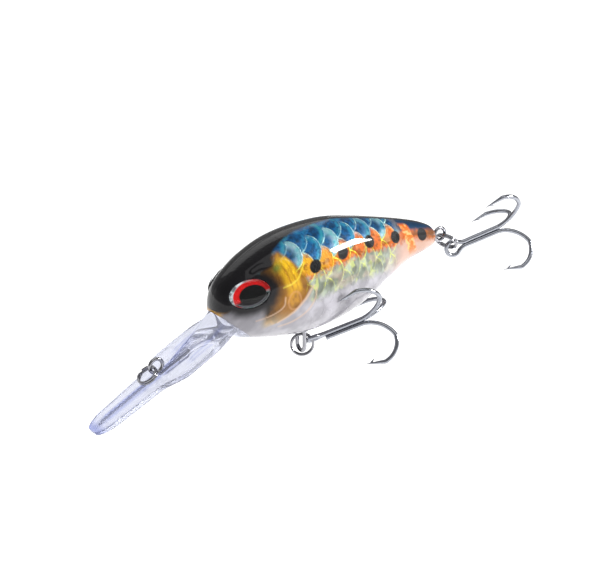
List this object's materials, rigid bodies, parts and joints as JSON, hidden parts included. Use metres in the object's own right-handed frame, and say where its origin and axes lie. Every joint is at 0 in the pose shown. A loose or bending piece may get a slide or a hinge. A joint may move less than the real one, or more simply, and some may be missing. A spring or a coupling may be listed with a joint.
{
  "type": "crankbait lure",
  "caption": "Deep-diving fishing lure: hollow fish-shaped body with scale foil and eyes, long clear bill, split rings and treble hooks.",
  "frame": {"origin": "middle of the line-tie eye", "axes": "+X from the line tie to the tail, +Z to the back, -Y to the side with the printed eye that faces the viewer of the left flank"},
  "size_m": [0.113, 0.0234, 0.0351],
  "materials": {
    "clear_shell": "clear gloss, black along the back",
    "scale_foil": "embossed iridescent foil, blue above, gold and orange at the side",
    "eye_print": "printed, silver rim, red crescent, black pupil",
    "clear_lens": "clear dome",
    "clear_bill": "clear with a faint violet tint",
    "steel_wire": "bright stainless wire",
    "nickel_ring": "bright nickel plate",
    "black_nickel": "black nickel plate",
    "lead": "cast, dull",
    "clear_tube": "clear",
    "steel_ball": "polished"
  },
  "bodies": {
    "lure": {"left_shell": "clear_shell", "right_shell": "clear_shell", "left_scale_foil": "scale_foil", "right_scale_foil": "scale_foil", "left_eye_cup": "eye_print", "right_eye_cup": "eye_print", "left_eye_lens": "clear_lens", "right_eye_lens": "clear_lens", "diving_bill": "clear_bill", "bill_pin": "steel_wire", "line_tie_eye": "steel_wire", "belly_hanger": "steel_wire", "tail_hanger": "steel_wire", "belly_weight": "lead", "rattle_tube": "clear_tube"},
    "line_tie_ring": {"line_tie_ring": "nickel_ring"},
    "belly_ring": {"belly_ring": "nickel_ring"},
    "belly_hook": {"belly_hook_pair": "black_nickel", "belly_hook_single": "black_nickel"},
    "tail_ring": {"tail_ring": "nickel_ring"},
    "tail_hook": {"tail_hook_pair": "black_nickel", "tail_hook_single": "black_nickel"},
    "front_ball": {"rattle_ball_front": "steel_ball"},
    "rear_ball": {"rattle_ball_rear": "steel_ball"}
  },
  "joints": [
    {"name": "line_tie_ring_swing", "type": "hinge", "parent": "lure", "child": "line_tie_ring", "pos_m": [0, 0, 0], "axis": [0, 1, 0], "range_deg": [0, 125]},
    {"name": "belly_ring_swing", "type": "hinge", "parent": "lure", "child": "belly_ring", "pos_m": [0.0369, 0, -0.00539], "axis": [0.5, 0.866, 0], "range_deg": [0, 70]},
    {"name": "belly_hook_swing", "type": "hinge", "parent": "belly_ring", "child": "belly_hook", "pos_m": [0.03724, 0, -0.00413], "axis": [0.5, 0.866, 0], "range_deg": [0, 60]},
    {"name": "tail_ring_swing", "type": "hinge", "parent": "lure", "child": "tail_ring", "pos_m": [0.0753, 0, 0.01346], "axis": [0, 1, 0], "range_deg": [-60, 44]},
    {"name": "tail_hook_swing", "type": "hinge", "parent": "tail_ring", "child": "tail_hook", "pos_m": [0.07902, 0, 0.00961], "axis": [0, 1, 0], "range_deg": [-20, 70]},
    {"name": "front_ball_roll", "type": "slide", "parent": "lure", "child": "front_ball", "axis": [1, 0, 0], "range_m": [0, 0.003]},
    {"name": "rear_ball_roll", "type": "slide", "parent": "lure", "child": "rear_ball", "axis": [1, 0, 0], "range_m": [-0.003, 0]}
  ]
}
